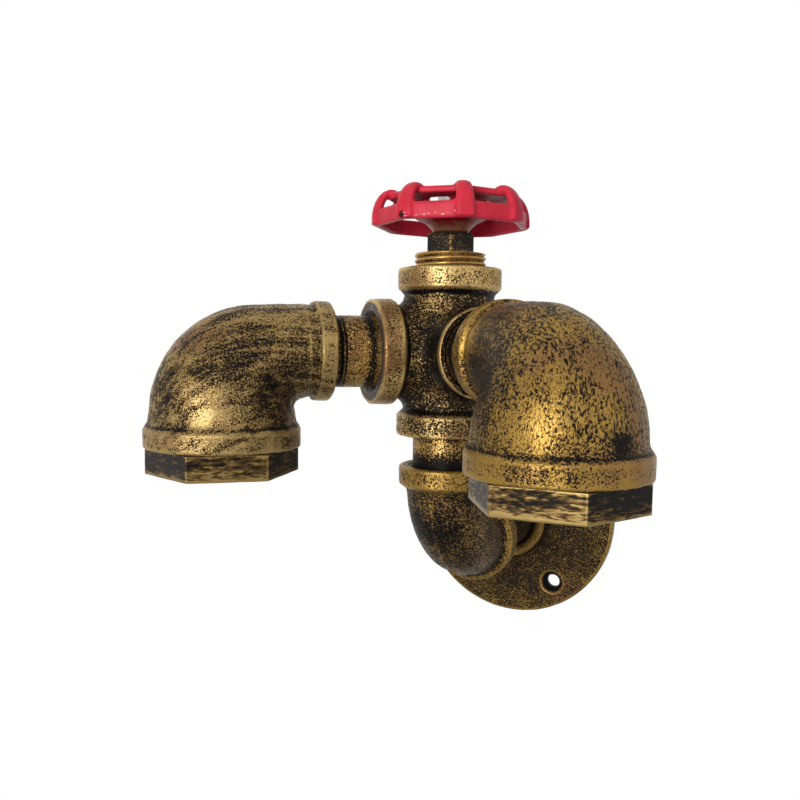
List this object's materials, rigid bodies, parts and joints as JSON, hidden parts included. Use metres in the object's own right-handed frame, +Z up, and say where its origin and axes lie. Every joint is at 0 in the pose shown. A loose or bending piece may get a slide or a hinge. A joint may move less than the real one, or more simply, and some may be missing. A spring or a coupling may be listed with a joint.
{
  "type": "pipe wall light",
  "caption": "Wall light built from iron pipe fittings: a flanged stem, a side-outlet tee with a valve-wheel switch on top, and reducing elbows that hold lamp sockets facing down.",
  "frame": {"origin": "centre of the wall flange's back face, on the flange's axis", "axes": "+Z up, +Y into the wall, +X to the right seen from the room"},
  "size_m": [0.1768, 0.1764, 0.188],
  "materials": {
    "antique_iron": "black paint dry-brushed with antique gold, satin",
    "black_iron": "black paint, satin",
    "red_enamel": "gloss red paint on a cast wheel",
    "zinc_steel": "zinc-plated steel",
    "brass": "pressed brass sheet",
    "ceramic": "glazed ceramic",
    "bakelite": "moulded phenolic",
    "packing": "braided packing",
    "lead_sheath": "silicone sheath"
  },
  "bodies": {
    "stand": {"wall_flange": "antique_iron", "wall_nipple": "antique_iron", "lower_elbow": "antique_iron", "riser_nipple": "antique_iron", "side_outlet_tee": "antique_iron", "left_arm_nipple": "antique_iron", "right_arm_nipple": "antique_iron", "valve_bonnet": "antique_iron", "gland_packing": "packing", "gland_nut": "black_iron", "switch_housing": "bakelite", "switch_base": "bakelite", "left_inner_lead": "lead_sheath", "right_inner_lead": "lead_sheath"},
    "wheel": {"handwheel": "red_enamel", "spindle": "zinc_steel", "wheel_washer": "zinc_steel", "wheel_nut": "zinc_steel", "switch_rotor": "ceramic"},
    "left_head": {"left_reducing_elbow": "antique_iron", "left_hex_bushing": "antique_iron", "left_lamp_holder": "ceramic", "left_screw_shell": "brass", "left_centre_contact": "brass", "left_terminal_screws": "brass", "left_retaining_ring": "zinc_steel", "left_head_lead": "lead_sheath"},
    "right_head": {"right_reducing_elbow": "antique_iron", "right_hex_bushing": "antique_iron", "right_lamp_holder": "ceramic", "right_screw_shell": "brass", "right_centre_contact": "brass", "right_terminal_screws": "brass", "right_retaining_ring": "zinc_steel", "right_head_lead": "lead_sheath"}
  },
  "joints": [
    {"name": "wheel_turn", "type": "hinge", "parent": "stand", "child": "wheel", "pos_m": [0, -0.088, 0.1182], "axis": [0, 0, -1], "range_deg": [0, 270]},
    {"name": "left_head_swivel", "type": "hinge", "parent": "stand", "child": "left_head", "pos_m": [-0.03818, -0.12618, 0.0782], "axis": [-0.7071, -0.7071, 0], "range_deg": [-45, 45]},
    {"name": "right_head_swivel", "type": "hinge", "parent": "stand", "child": "right_head", "pos_m": [0.03818, -0.12618, 0.0782], "axis": [0.7071, -0.7071, 0], "range_deg": [-45, 45]}
  ]
}
